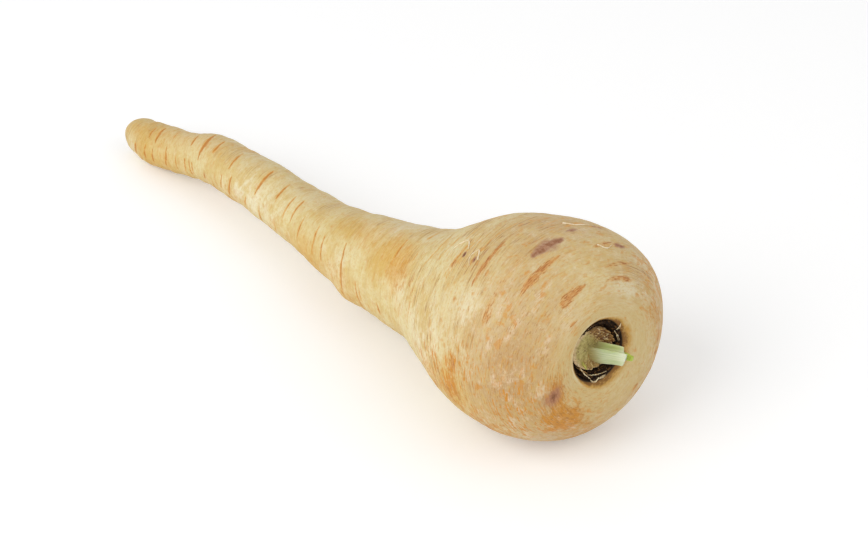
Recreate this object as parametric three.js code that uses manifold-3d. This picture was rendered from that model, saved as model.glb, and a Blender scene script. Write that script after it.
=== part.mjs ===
// A parsnip lying on a flat surface: one taproot with a crown pit, and the small pieces that sit
// in the pit and on the skin. Millimetres, +Z up, +X along the root towards the crown. The origin
// is on the surface, under the middle of the whole object.

import * as THREE from 'three';
import { mergeVertices } from 'three/addons/utils/BufferGeometryUtils.js';
import Module from 'manifold-3d';

const wasm = await Module();
wasm.setup();

// Driving dimensions.
const bulbRadius = 34; // the widest ring, a short way below the crown
const tailRadius = 8; // the root where it ends bluntly
const rootLength = 242; // along the bend, crown to tail tip
const restCut = 0.6; // depth of the flats pressed under the bulb and the tail
const pitRadius = 9.3; // the crown pit that the leaves grow from
const pitDepth = 10;
const gap = 0.35; // clearance between neighbouring pieces
const stalkWidth = 5.8;
const stalkThickness = 3;
const stalkReach = 7.3; // how far the long corner of the cut stalk stands out of the pit
const fibreDiameter = 0.5;
const rootletDiameter = 0.6;

// The centre line, from the crown to the tail. It sags from the bulb to the tail, which rests too.
const spine = new THREE.CatmullRomCurve3([
  new THREE.Vector3(24, -2, 37),
  new THREE.Vector3(0, 0, bulbRadius),
  new THREE.Vector3(-33, -3, 28),
  new THREE.Vector3(-62, -4.7, 23.6),
  new THREE.Vector3(-95, -4.1, 19.1),
  new THREE.Vector3(-130, -1.8, 17.3),
  new THREE.Vector3(-165, -1.4, 15),
  new THREE.Vector3(-198, -5.3, tailRadius + 0.8),
  new THREE.Vector3(-222, -6.6, tailRadius - 2),
]);
const spineLength = spine.getLength();

// The half outline of the straightened root, as radius and distance from the crown.
const lip = [
  new THREE.Vector2(pitRadius - 0.2, 3),
  new THREE.Vector2(pitRadius - 0.1, 1.3),
  new THREE.Vector2(pitRadius + 0.2, 0.5),
  new THREE.Vector2(pitRadius + 0.9, 0.1),
  new THREE.Vector2(pitRadius + 2.6, 0),
];
const skinOutline = new THREE.SplineCurve([
  new THREE.Vector2(14.5, 0.1),
  new THREE.Vector2(20.2, 1.5),
  new THREE.Vector2(25.8, 5.3),
  new THREE.Vector2(31.9, 13),
  new THREE.Vector2(bulbRadius, 25),
  new THREE.Vector2(32.8, 36),
  new THREE.Vector2(30.2, 46),
  new THREE.Vector2(25.2, 57),
  new THREE.Vector2(20, 69),
  new THREE.Vector2(16.8, 84),
  new THREE.Vector2(14.7, 104),
  new THREE.Vector2(11.3, 129),
  new THREE.Vector2(10, 156),
  new THREE.Vector2(9.1, 185),
  new THREE.Vector2(tailRadius, 214),
  new THREE.Vector2(tailRadius - 0.5, 232),
  new THREE.Vector2(tailRadius - 3, rootLength - 1.4),
  new THREE.Vector2(0, rootLength),
]);

// The pit leans off the centre line, up and to one side, within this distance of the axis.
const pitLean = new THREE.Vector2(-1.9, 4.6);
const leanLimit = 24;
const crownDepth = 20; // only rings nearer to the crown than this lean

// The crown's own axes at the pit: x sideways, y up the crown's face, z out of the crown.
const crownOut = spine.getTangentAt(0).negate();
const crownSide = new THREE.Vector3(0, 0, 1).cross(crownOut).normalize();
const crownUp = crownOut.clone().cross(crownSide);
const pitCentre = spine.getPointAt(0)
  .addScaledVector(crownSide, pitLean.x)
  .addScaledVector(crownUp, pitLean.y);

const colours = {
  skin: 0xdcc48c,
  soil: 0x2a1d12,
  sheath: 0xb9a981,
  stalk: 0xccd6a4,
  shoot: 0x93b64a,
  bud: 0x8a8438,
  scale: 0x8a5a2c,
  fibre: 0xd9c49a,
  rootlet: 0xb08a55,
};

function piece(name, geometry, colour, roughness) {
  const material = new THREE.MeshStandardMaterial({ color: colour, roughness, metalness: 0 });
  const mesh = new THREE.Mesh(geometry, material);
  mesh.name = name;
  return mesh;
}

// Merges shared corners and drops the triangles that a pole folds to a line.
function closed(geometry) {
  geometry.deleteAttribute('normal');
  geometry.deleteAttribute('uv');
  const merged = mergeVertices(geometry, 1e-4);
  const corners = merged.index.array;
  const kept = [];
  for (let i = 0; i < corners.length; i += 3) {
    const [a, b, c] = corners.slice(i, i + 3);
    if (a !== b && b !== c && c !== a) kept.push(a, b, c);
  }
  merged.setIndex(kept);
  return merged;
}

function toSolid(geometry) {
  const mesh = new wasm.Mesh({
    numProp: 3,
    vertProperties: new Float32Array(geometry.attributes.position.array),
    triVerts: new Uint32Array(geometry.index.array),
  });
  return new wasm.Manifold(mesh);
}

function fromSolid(solid) {
  const mesh = solid.getMesh();
  const geometry = new THREE.BufferGeometry();
  geometry.setAttribute('position', new THREE.BufferAttribute(mesh.vertProperties, 3));
  geometry.setIndex(new THREE.BufferAttribute(mesh.triVerts, 1));
  return geometry;
}

// Moves every vertex of a geometry by a function that changes the vector it is given.
function reshape(geometry, change) {
  const places = geometry.attributes.position;
  const point = new THREE.Vector3();
  for (let i = 0; i < places.count; i += 1) {
    point.fromBufferAttribute(places, i);
    change(point);
    places.setXYZ(i, point.x, point.y, point.z);
  }
  return geometry;
}

// The centre line's frame at a distance from the crown: ahead to the tail, out to the side, and up.
function spineFrame(along) {
  const at = THREE.MathUtils.clamp(along / spineLength, 0, 1);
  const ahead = spine.getTangentAt(at);
  const aside = new THREE.Vector3(0, 0, 1).cross(ahead).normalize();
  const up = ahead.clone().cross(aside);
  return { centre: spine.getPointAt(at), ahead, aside, up };
}

// A point on the skin: distance from the crown, degrees round from the side, and height above it.
function skinPoint(along, degrees, height) {
  const { centre, aside, up } = spineFrame(along);
  const outline = skinOutline.getSpacedPoints(400).filter((p) => p.x > leanLimit / 2);
  const nearest = outline.reduce((a, b) => (Math.abs(b.y - along) < Math.abs(a.y - along) ? b : a));
  const angle = THREE.MathUtils.degToRad(degrees);
  const reach = nearest.x + skinSwell(along, angle) + height;
  return centre.addScaledVector(aside, reach * Math.cos(angle))
    .addScaledVector(up, reach * Math.sin(angle));
}

// Broad shallow lumps, which fade out at the crown so that the pit stays round.
function skinSwell(along, angle) {
  const fade = THREE.MathUtils.smoothstep(along, 2, 30);
  const lumps = Math.sin(2 * angle + along / 17) + 0.6 * Math.sin(3 * angle - along / 9 + 1);
  const ridges = Math.sin(along / 6.5 + Math.sin(angle + 0.8) * 1.6);
  return fade * (0.28 * lumps + 0.18 * ridges);
}

function makeRoot() {
  const stepsAlong = 60;
  const stepsRound = 48;
  const pitFloor = [
    new THREE.Vector2(0, pitDepth),
    new THREE.Vector2(pitRadius * 0.55, pitDepth),
    new THREE.Vector2(pitRadius - 1.2, pitDepth - 1),
    new THREE.Vector2(pitRadius - 0.2, pitDepth - 3),
  ];
  const skin = skinOutline.getSpacedPoints(stepsAlong);
  skin.at(-1).x = 0;
  const geometry = closed(new THREE.LatheGeometry([...pitFloor, ...lip, ...skin], stepsRound));
  reshape(geometry, (point) => {
    const radius = Math.hypot(point.x, point.z);
    const angle = Math.atan2(-point.z, point.x);
    const { centre, aside, up } = spineFrame(point.y);
    const reach = radius > leanLimit / 2 ? radius + skinSwell(point.y, angle) : radius;
    const lean = point.y < crownDepth ? 1 - THREE.MathUtils.smoothstep(radius, pitRadius, leanLimit) : 0;
    point.copy(centre)
      .addScaledVector(aside, reach * Math.cos(angle))
      .addScaledVector(up, reach * Math.sin(angle))
      .addScaledVector(crownSide, lean * pitLean.x)
      .addScaledVector(crownUp, lean * pitLean.y);
  });
  const slabDepth = 20;
  const slab = new THREE.BoxGeometry(2 * rootLength, 6 * bulbRadius, slabDepth);
  slab.translate(-rootLength / 2, 0, restCut - slabDepth / 2);
  const flattened = toSolid(geometry).subtract(toSolid(closed(slab)));
  return piece('root', fromSolid(flattened), colours.skin, 0.62);
}

// A crust of dry soil round the pit's wall, crumbly along its inner edge and its top.
const soilOuter = pitRadius - 0.2 - gap;
const soilInner = 7.9;
function makeSoil() {
  const section = [
    new THREE.Vector2(soilInner, -pitDepth + 3.4),
    new THREE.Vector2(soilOuter - 0.5, -pitDepth + 2.6),
    new THREE.Vector2(soilOuter, -pitDepth + 3.6),
    new THREE.Vector2(soilOuter, -1),
    new THREE.Vector2(soilOuter - 0.3, -0.6),
    new THREE.Vector2(soilInner, -1),
    new THREE.Vector2(soilInner, -pitDepth + 3.4),
  ];
  const geometry = closed(new THREE.LatheGeometry(section, 36));
  reshape(geometry, (point) => {
    const angle = Math.atan2(point.z, point.x);
    const radius = Math.hypot(point.x, point.z);
    const crumb = 0.12 * Math.sin(7 * angle) + 0.08 * Math.sin(11 * angle + point.y);
    const reach = radius < soilOuter - 0.2 ? radius + crumb : radius;
    const rise = point.y > -2 ? 2 * crumb : 0;
    point.set(reach * Math.cos(angle), point.y + rise, reach * Math.sin(angle));
  });
  geometry.rotateX(Math.PI / 2);
  return piece('crown_soil', geometry, colours.soil, 0.95);
}

// The fleshy foot of the old leaves: an open cup with a deep floor, which clasps the stalk.
const sheathRadius = 6;
const sheathWall = 0.9;
const sheathFloor = -4.6;
const sheathMiddle = new THREE.Vector2(-0.7, 0.2);
function makeSheath() {
  const section = [
    new THREE.Vector2(0, gap - pitDepth),
    new THREE.Vector2(3.8, gap - pitDepth),
    new THREE.Vector2(sheathRadius - 0.6, -pitDepth + 2.4),
    new THREE.Vector2(sheathRadius, -3.2),
    new THREE.Vector2(sheathRadius - 0.2, -0.8),
    new THREE.Vector2(sheathRadius - sheathWall, -1.2),
    new THREE.Vector2(sheathRadius - sheathWall - 0.2, sheathFloor + 0.9),
    new THREE.Vector2(2.8, sheathFloor),
    new THREE.Vector2(0, sheathFloor),
  ];
  const geometry = closed(new THREE.LatheGeometry(section, 30));
  reshape(geometry, (point) => {
    const torn = point.y > -1.5 ? 0.4 * Math.sin(3 * Math.atan2(point.z, point.x) + 1) : 0;
    point.y += torn;
  });
  geometry.rotateX(Math.PI / 2);
  geometry.translate(sheathMiddle.x, sheathMiddle.y, 0);
  return piece('stalk_sheath', geometry, colours.sheath, 0.5);
}

// The stalk's section: a gutter, round outside and hollowed inside.
function gutterSection(width, thickness) {
  const half = width / 2;
  const section = new THREE.Shape();
  section.moveTo(-half, thickness * 0.4);
  section.quadraticCurveTo(-half, -thickness * 0.6, 0, -thickness * 0.6);
  section.quadraticCurveTo(half, -thickness * 0.6, half, thickness * 0.4);
  section.quadraticCurveTo(half * 0.5, -thickness * 0.15, 0, -thickness * 0.1);
  section.quadraticCurveTo(-half * 0.5, -thickness * 0.15, -half, thickness * 0.4);
  return section;
}

// The cut leaf stalk leans out of the pit from the sheath's floor, its hollow side turned away. The
// cut is slanted: it leaves the stalk's lower edge and its hollow side shorter.
const stalkFoot = new THREE.Vector3(0.5, -1.5, sheathFloor + gap + 0.6);
const stalkEnd = new THREE.Vector3(4.7, -1.1, stalkReach);
const stalkTurn = -78; // degrees about its own axis
const cutSlant = new THREE.Vector2(-0.5, 0.45);
function makeStalk() {
  const tall = stalkReach - stalkFoot.z;
  const geometry = closed(new THREE.ExtrudeGeometry(gutterSection(stalkWidth, stalkThickness), {
    depth: tall,
    steps: 8,
    curveSegments: 5,
    bevelEnabled: false,
  }));
  geometry.rotateZ(THREE.MathUtils.degToRad(stalkTurn));
  reshape(geometry, (point) => {
    const climb = point.z / tall;
    const shorter = cutSlant.x * (point.x + stalkThickness / 2)
      + cutSlant.y * (point.y - stalkWidth / 2);
    const taper = 0.72 + 0.28 * THREE.MathUtils.smoothstep(climb, 0, 0.7);
    point.x = point.x * taper + THREE.MathUtils.lerp(stalkFoot.x, stalkEnd.x, climb);
    point.y = point.y * taper + THREE.MathUtils.lerp(stalkFoot.y, stalkEnd.y, climb);
    point.z += stalkFoot.z + shorter * climb ** 2;
  });
  return piece('leaf_stalk', geometry, colours.stalk, 0.45);
}

// A slim straight body of revolution between two points in the crown's axes, blunt at both ends.
function bud(name, from, to, radius, colour) {
  const length = from.distanceTo(to);
  const profile = new THREE.SplineCurve([
    new THREE.Vector2(0, 0),
    new THREE.Vector2(radius * 0.8, length * 0.08),
    new THREE.Vector2(radius, length * 0.5),
    new THREE.Vector2(radius * 0.85, length * 0.85),
    new THREE.Vector2(0, length),
  ]).getPoints(10);
  profile[0].x = 0;
  profile.at(-1).x = 0;
  const geometry = closed(new THREE.LatheGeometry(profile, 10));
  const turn = new THREE.Quaternion().setFromUnitVectors(
    new THREE.Vector3(0, 1, 0),
    to.clone().sub(from).normalize(),
  );
  geometry.applyQuaternion(turn);
  geometry.translate(from.x, from.y, from.z);
  return piece(name, geometry, colour, 0.45);
}

// A thin papery scale: a pointed outline, pressed into a curve round the sheath.
function makeScale(name, { width, tall, round, foot }) {
  const outline = new THREE.Shape();
  outline.moveTo(-width / 2, 0);
  outline.quadraticCurveTo(-width * 0.55, tall * 0.6, -width * 0.1, tall);
  outline.lineTo(width * 0.16, tall * 0.82);
  outline.quadraticCurveTo(width * 0.5, tall * 0.5, width / 2, 0);
  outline.closePath();
  const geometry = closed(new THREE.ExtrudeGeometry(outline, {
    depth: 0.35,
    curveSegments: 4,
    bevelEnabled: false,
  }));
  reshape(geometry, (point) => {
    const angle = round + point.x / scaleReach;
    const flare = scaleReach + point.z + 0.2 * (point.y / tall) ** 2;
    point.set(flare * Math.cos(angle), flare * Math.sin(angle), foot + point.y);
    point.x += sheathMiddle.x;
    point.y += sheathMiddle.y;
  });
  return piece(name, geometry, colours.scale, 0.85);
}

// A round strand through a few points, thin enough to sit clear of its neighbours.
function strand(name, points, diameter, colour, steps) {
  const section = new THREE.Shape();
  section.absarc(0, 0, diameter / 2, 0, Math.PI * 2);
  const path = new THREE.CatmullRomCurve3(points);
  const geometry = closed(new THREE.ExtrudeGeometry(section, {
    steps,
    curveSegments: 3,
    bevelEnabled: false,
    extrudePath: path,
  }));
  return piece(name, geometry, colour, 0.8);
}

// Torn papery edges of older leaves, between the sheath and the soil.
const scales = [
  { width: 3.6, tall: 3, round: 1.5, foot: -3 },
  { width: 3.2, tall: 2.8, round: 0.85, foot: -2.8 },
  { width: 2.8, tall: 2.6, round: 0.25, foot: -3.2 },
  { width: 2.6, tall: 2.2, round: -0.35, foot: -3.2 },
  { width: 3, tall: 2.2, round: -2.35, foot: -3 },
];
const scaleReach = sheathRadius + gap + 0.15;

// Fibres in the pit, in the crown's axes: threads down the walls and a frayed shred at the rim.
const fibres = [
  [[-8.3, -0.2, 0.3], [-7.6, -3.2, 0.4], [-6.2, -5.6, 0.3], [-4.4, -7, 0.4]],
  [[-4.1, -7.5, 0.9], [-3, -7.9, 1.2], [-1.8, -7.5, 0.8], [-0.2, -8.2, 1.1], [1.2, -7.8, 0.9]],
  [[-5.6, -5.2, 0.4], [-3.4, -6.2, 0.4], [-1, -6.7, 0.3], [2.2, -7, 0.4]],
  [[5, 5.2, 0.6], [5.9, 3.8, 0.4], [6.7, 2.4, 0.2], [7.2, 0.8, 0.1]],
  [[5.8, 5.2, 1.1], [6.6, 5.9, 1.2], [7.3, 6.9, 1.4]],
  [[-1, 8.3, 0.4], [-0.4, 7.9, 0.3], [0.2, 7.2, 0.2]],
];

// Rootlets on the skin: distance from the crown and degrees round, for each point passed.
const rootlets = [
  [[34, 60], [36.5, 66], [38, 61], [36, 56]],
  [[41, 66], [44, 72], [47, 70], [48.5, 63]],
  [[24, 103], [22, 107], [21, 113], [20.6, 118]],
  [[12, 104], [10.8, 109], [11.6, 114]],
  [[52, 152], [55, 160], [54, 170], [57, 178]],
  [[30, 205], [33, 213], [31.5, 222], [34, 230]],
];

const model = new THREE.Group();
model.add(makeRoot());

const crown = new THREE.Group();
crown.position.copy(pitCentre);
crown.quaternion.setFromRotationMatrix(
  new THREE.Matrix4().makeBasis(crownSide, crownUp, crownOut),
);
crown.add(makeSoil());
crown.add(makeSheath());
crown.add(makeStalk());
const shootTip = new THREE.Vector3(6, -0.9, stalkReach + 0.9);
crown.add(bud('inner_shoot', new THREE.Vector3(2.75, -1.3, -2.6), shootTip, 0.78, colours.shoot));
const budTip = new THREE.Vector3(-4, -2.9, -0.6);
crown.add(bud('side_bud', new THREE.Vector3(-3.9, -2.5, -3.5), budTip, 0.38, colours.bud));
scales.forEach((scale, i) => crown.add(makeScale(`dead_scale_${i + 1}`, scale)));
fibres.forEach((points, i) => {
  const path = points.map((point) => new THREE.Vector3(...point));
  crown.add(strand(`crown_fibre_${i + 1}`, path, fibreDiameter, colours.fibre, 12));
});
model.add(crown);

rootlets.forEach((stops, i) => {
  const height = rootletDiameter / 2 + gap;
  const path = stops.map(([along, degrees]) => skinPoint(along, degrees, height));
  model.add(strand(`rootlet_${i + 1}`, path, rootletDiameter, colours.rootlet, 12));
});

// Put the origin on the surface under the middle of the object.
const box = new THREE.Box3().setFromObject(model, true);
const middle = box.getCenter(new THREE.Vector3());
model.position.set(-middle.x, -middle.y, -box.min.z);
model.updateMatrixWorld(true);

export default model;
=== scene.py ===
# A parsnip lying on a pale table: its skin with scars and creases, and the cut crown.

import math
import random
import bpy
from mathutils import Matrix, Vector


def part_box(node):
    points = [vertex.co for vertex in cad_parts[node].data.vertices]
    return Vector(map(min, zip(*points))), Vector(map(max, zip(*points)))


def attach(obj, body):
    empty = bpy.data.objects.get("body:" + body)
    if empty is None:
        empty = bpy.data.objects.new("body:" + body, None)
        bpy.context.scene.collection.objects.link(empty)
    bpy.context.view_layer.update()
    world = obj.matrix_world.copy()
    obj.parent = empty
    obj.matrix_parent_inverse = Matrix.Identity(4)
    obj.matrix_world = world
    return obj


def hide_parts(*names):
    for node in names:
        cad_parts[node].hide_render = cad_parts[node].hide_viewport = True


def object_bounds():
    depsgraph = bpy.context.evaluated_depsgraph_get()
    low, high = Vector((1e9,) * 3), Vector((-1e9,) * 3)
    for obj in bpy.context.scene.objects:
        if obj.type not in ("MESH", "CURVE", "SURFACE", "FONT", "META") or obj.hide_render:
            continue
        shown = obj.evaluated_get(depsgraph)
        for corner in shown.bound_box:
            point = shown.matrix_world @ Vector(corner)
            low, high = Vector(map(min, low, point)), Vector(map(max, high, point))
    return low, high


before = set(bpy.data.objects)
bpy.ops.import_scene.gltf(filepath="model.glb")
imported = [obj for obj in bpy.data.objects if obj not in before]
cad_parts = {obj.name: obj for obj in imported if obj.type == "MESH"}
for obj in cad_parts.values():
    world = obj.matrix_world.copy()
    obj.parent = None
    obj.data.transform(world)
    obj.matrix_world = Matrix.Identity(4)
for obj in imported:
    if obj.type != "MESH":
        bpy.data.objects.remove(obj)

from types import SimpleNamespace

import bmesh
import bpy
import numpy as np
from mathutils import Matrix, Vector, noise
from mathutils.bvhtree import BVHTree

noise.seed_set(8)    # without it the noise vectors start from the clock, and each run differs
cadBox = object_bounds()
mm = 0.001
print("frame loaded:", len(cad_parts), "nodes")


def smoothStep(value, low, high):
    share = np.clip((value - low) / (high - low), 0, 1)
    return share * share * (3 - 2 * share)


def lengthsAlong(line):
    return np.concatenate([[0], np.cumsum(np.linalg.norm(np.diff(line, axis=0), axis=1))])


def curveThrough(stops, steps=60):
    # a smooth line through the stops, and how far along it each of its points is
    stops = np.array(stops, float)
    stops = np.vstack([2 * stops[0] - stops[1], stops, 2 * stops[-1] - stops[-2]])
    share = np.linspace(0, 1, steps, endpoint=False)[:, None]
    parts = []
    for before, start, end, after in zip(stops, stops[1:], stops[2:], stops[3:]):
        pairs = ((before, start), (start, end), (end, after))
        gapA, gapB, gapC = (math.dist(p, q) ** 0.5 for p, q in pairs)
        leave = ((start - before) / gapA - (end - before) / (gapA + gapB)) * gapB + end - start
        arrive = ((after - end) / gapC - (after - start) / (gapB + gapC)) * gapB + end - start
        parts.append(
            start + leave * share
            + (3 * (end - start) - 2 * leave - arrive) * share**2
            + (2 * (start - end) + leave + arrive) * share**3
        )
    line = np.vstack([*parts, stops[-2:-1]])
    return line, lengthsAlong(line)


def pickAlong(line, reach, wanted):
    return np.stack([np.interp(wanted, reach, part) for part in line.T], axis=1)


def smoothOutline(stops, step, steps=20):
    line, reach = curveThrough(stops, steps)
    return pickAlong(line, reach, np.linspace(0, reach[-1], int(reach[-1] / step) + 1))


def ringNoise(run, angle, runStep, ringCells, seed):
    # smooth noise from -1 to 1 in cells runStep long, with ringCells of them around each ring
    dice = np.random.default_rng(seed)
    u = (run - run.min()) / runStep
    table = dice.uniform(-1, 1, (int(u.max()) + 2, ringCells))
    turns = dice.uniform(0, ringCells, len(table))

    def onRing(row):
        v = angle / (2 * math.pi) * ringCells + turns[row] + ringCells
        cell = np.floor(v).astype(int)
        share = smoothStep(v - cell, 0, 1)
        return table[row, cell % ringCells] * (1 - share) + table[row, (cell + 1) % ringCells] * share

    row = u.astype(int)
    share = smoothStep(u - row, 0, 1)
    return onRing(row) * (1 - share) + onRing(row + 1) * share


def readVectors(mesh, name):
    values = np.empty(len(mesh.vertices) * 3, np.float32)
    mesh.vertices.foreach_get(name, values)
    return values.reshape(-1, 3).astype(float)


def moveVerts(mesh, places):
    mesh.vertices.foreach_set("co", places.astype(np.float32).ravel())
    mesh.update()


def storeField(mesh, name, values):
    field = mesh.attributes.new(name, "FLOAT_VECTOR", "POINT")
    field.data.foreach_set("vector", values.astype(np.float32).ravel())


def toMesh(bm, name):
    mesh = bpy.data.meshes.new(name)
    bm.to_mesh(mesh)
    bm.free()
    return mesh


def spinShape(outline, steps, runs=()):
    # an outline of (radius, height) spun round the upright axis; its vertices keep their runs, if given
    bm = bmesh.new()
    runLayer = bm.verts.layers.float.new("run") if len(runs) else None
    verts = [bm.verts.new((radius, 0, height)) for radius, height in outline]
    for vert, run in zip(verts, runs):
        vert[runLayer] = run
    edges = [bm.edges.new(pair) for pair in zip(verts, verts[1:])]
    bmesh.ops.spin(
        bm, geom=verts + edges, cent=(0, 0, 0), axis=(0, 0, 1), dvec=(0, 0, 0),
        angle=2 * math.pi, steps=steps, use_merge=True, use_duplicate=False,
    )
    bmesh.ops.remove_doubles(bm, verts=bm.verts, dist=1e-4)
    return bm


def addPiece(mesh, name, material, slotName, *nodes):
    piece = bpy.data.objects.new(name, mesh)
    bpy.context.scene.collection.objects.link(piece)
    mesh.materials.append(material)
    mesh.shade_smooth()
    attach(piece, "root")
    if nodes:
        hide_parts(*nodes)
    return piece


def paint(red, green, blue):
    # a colour given as it looks, from 0 to 255, in the renderer's own linear values
    levels = [level / 255 for level in (red, green, blue)]
    linear = [level / 12.92 if level < 0.04 else ((level + 0.055) / 1.055) ** 2.4 for level in levels]
    return (*linear, 1)


def feed(tree, socket, value):
    # a socket takes another node's output or a plain value
    if isinstance(value, bpy.types.NodeSocket):
        tree.links.new(value, socket)
    else:
        socket.default_value = value


def addNode(tree, kind, inputs, **settings):
    made = tree.nodes.new("ShaderNode" + kind)
    for name, value in settings.items():
        setattr(made, name, value)
    for name, value in inputs.items():
        feed(tree, made.inputs[name], value)
    return made


def layCoats(tree, colour, *coats):
    # each coat is how much of it covers the colour below, and its own colour
    for share, coat in coats:
        colour = addNode(tree, "Mix", {0: share, 6: colour, 7: coat}, data_type="RGBA").outputs[2]
    return colour


def calc(tree, operation, first, second=0.0, third=0.0, clamp=False):
    inputs = {0: first, 1: second, 2: third}
    return addNode(tree, "Math", inputs, operation=operation, use_clamp=clamp).outputs[0]


def vectorMath(tree, operation, first, second=(0, 0, 0)):
    made = addNode(tree, "VectorMath", {0: first, 1: second}, operation=operation)
    return made.outputs["Value" if operation in ("LENGTH", "DISTANCE") else "Vector"]


def fade(tree, value, low, high, fromValue=0.0, toValue=1.0):
    inputs = {"Value": value, "From Min": low, "From Max": high, "To Min": fromValue, "To Max": toValue}
    return addNode(tree, "MapRange", inputs, interpolation_type="SMOOTHSTEP").outputs[0]


def attributeOf(tree, name):
    return addNode(tree, "Attribute", {}, attribute_name=name).outputs["Vector"]


def partsOf(tree, vector):
    return addNode(tree, "SeparateXYZ", {0: vector}).outputs


def grain(tree, vector, stretch, scale, detail=3.0, rough=0.55, warp=0.0):
    # noise in cells of 1 / scale metres, squeezed along each axis by stretch
    squeezed = addNode(tree, "Mapping", {"Vector": vector, "Scale": stretch}).outputs[0]
    inputs = {"Vector": squeezed, "Scale": scale, "Detail": detail, "Roughness": rough, "Distortion": warp}
    return addNode(tree, "TexNoise", inputs).outputs["Fac"]


def newMaterial(name):
    material = bpy.data.materials.new(name)
    material.use_nodes = True
    return material, material.node_tree


def finishLook(tree, colour, rough, relief=None, gloss=0.5, soft=()):
    # soft is how light goes into the piece: its share, its reach in red, green and blue, its scale in m
    shader = tree.nodes["Principled BSDF"]
    inputs = {"Base Color": colour, "Roughness": rough, "Specular IOR Level": gloss}
    inputs |= zip(("Subsurface Weight", "Subsurface Radius", "Subsurface Scale"), soft)
    if relief:
        inputs["Normal"] = relief
    for name, value in inputs.items():
        feed(tree, shader.inputs[name], value)


def bump(tree, height, depth, before=None):
    # depth is in metres for a height of 1
    inputs = {"Height": height, "Distance": depth, "Strength": 1.0}
    if before is not None:
        inputs["Normal"] = before
    return addNode(tree, "Bump", inputs).outputs[0]


view = {
    "azimuth": 48.36,
    "elevation": 35.85,
    "distance": 0.5029,
    "aim": (0.744, 0.231, 0.669),    # as shares of the model's box
    "lens": 70.5,
}


def placeCamera():
    low, high = cadBox
    aim = Vector([low[i] + (high[i] - low[i]) * view["aim"][i] for i in range(3)])
    turn, lift = math.radians(view["azimuth"]), math.radians(view["elevation"])
    back = Vector((math.sin(turn) * math.cos(lift), -math.cos(turn) * math.cos(lift), math.sin(lift)))
    camera = bpy.data.objects.new("camera", bpy.data.cameras.new("camera"))
    camera.data.lens = view["lens"]
    camera.data.clip_start = 0.01
    camera.location = aim + back * view["distance"]
    camera.rotation_euler = (-back).to_track_quat("-Z", "Y").to_euler()
    bpy.context.scene.collection.objects.link(camera)
    bpy.context.scene.camera = camera


placeCamera()
print("camera placed")


rootShape = {
    # the centre line from the crown to the tail, in mm
    "spine": [
        (24, -2, 37), (0, 0, 34), (-33, -3, 28), (-62, -4.7, 23.6), (-95, -4.1, 19.1),
        (-130, -1.8, 17.3), (-165, -1.4, 15), (-198, -5.3, 8.8), (-222, -6.6, 6),
    ],
    # half outlines of the straightened root: radius, and distance from the crown
    "pit": [(0, 10), (5.1, 10), (8.1, 9), (9.1, 7), (9.1, 3)],
    "skin": [
        (9.1, 3), (9.2, 1.3), (9.5, 0.5), (10.2, 0.1), (11.9, 0), (14.5, 0.1), (20.2, 1.5),
        (25.8, 5.3), (31.9, 13), (34, 25), (32.8, 36), (30.2, 46), (25.2, 57), (20, 69),
        (16.8, 84), (14.7, 104), (11.3, 129), (10, 156), (9.1, 185), (8, 214), (7.5, 232),
        (5, 240.6), (0, 242),
    ],
    "lipRadius": 9.5,
    "mouthSqueeze": 0.085,           # how much narrower the pit's mouth is on its +x side
    "mouthStretch": (0.07, 112),     # how much wider it is towards a direction, in degrees from +x
    "pitLean": (-1.9, 4.6),          # how far the pit leans off the centre line: sideways, up
    "leanLimit": 24,                 # mm from the axis, where the lean has faded out
    "crownDepth": 20,                # how far along the root its crown end reaches
    "mouthFade": (9.5, 15),          # mm from the axis, where the mouth's own shape fades out
    # broad lumps: heights of the lobes and of the ridges, and where along the root they set in
    "lobes": 0.28,
    "ridges": 0.18,
    "lobesFrom": (2, 30),
    "ringStep": 0.41,
    "pitStep": 1.0,
    "around": 144,
    # swellings and hollows: run over the skin, degrees round, half sizes along and round, height
    "swellings": [
        (257, 105, 7, 7, 1.5), (258, -35, 4, 5, -1.0), (239, 125, 4, 4, 0.6), (211, 125, 5.5, 5, 1.5),
        (190, 120, 8, 5, -0.4), (112, 135, 6, 6, -0.5), (75, 118, 10, 12, -0.7), (56, 100, 12, 12, -0.9),
        (35, 132, 9, 11, 0.6), (26, 158, 6, 9, 0.5), (23, -140, 6, 9, -0.8), (15, -95, 7, 9, -0.8),
        (20, -62, 7, 9, -1.1), (36, -66, 7, 9, -0.9), (53, -38, 7, 8, 0.4), (89, -43, 5, 6, -0.7),
        (120, -36, 4, 5, 1.3), (155, -40, 9, 6, -0.7), (184, -52, 6, 5, -0.7), (211, -58, 6, 4, -0.5),
    ],
}


def makeRootMesh():
    # the outline is spun into rings, each vertex keeping its distance over the skin from the lip
    pit = smoothOutline(rootShape["pit"], rootShape["pitStep"], 60)
    outline = np.vstack([pit[:-1], smoothOutline(rootShape["skin"], rootShape["ringStep"], 60)])
    outline[-1, 0] = 0
    run = lengthsAlong(outline)
    lip = np.argmax(outline[:, 0] > rootShape["lipRadius"])
    bm = spinShape(outline, rootShape["around"], run - run[lip])
    bmesh.ops.recalc_face_normals(bm, faces=bm.faces)
    return toMesh(bm, "root_skin")


def spineFrames(along):
    # the centre line's point, its way ahead, its way aside and its way up, at each distance
    line, reach = curveThrough(rootShape["spine"])
    centre = pickAlong(line, reach, along)
    ahead = pickAlong(line, reach, along + 0.5) - pickAlong(line, reach, along - 0.5)
    ahead /= np.linalg.norm(ahead, axis=1)[:, None]
    aside = np.cross([0, 0, 1], ahead)
    aside /= np.linalg.norm(aside, axis=1)[:, None]
    return centre, ahead, aside, np.cross(ahead, aside)


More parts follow.
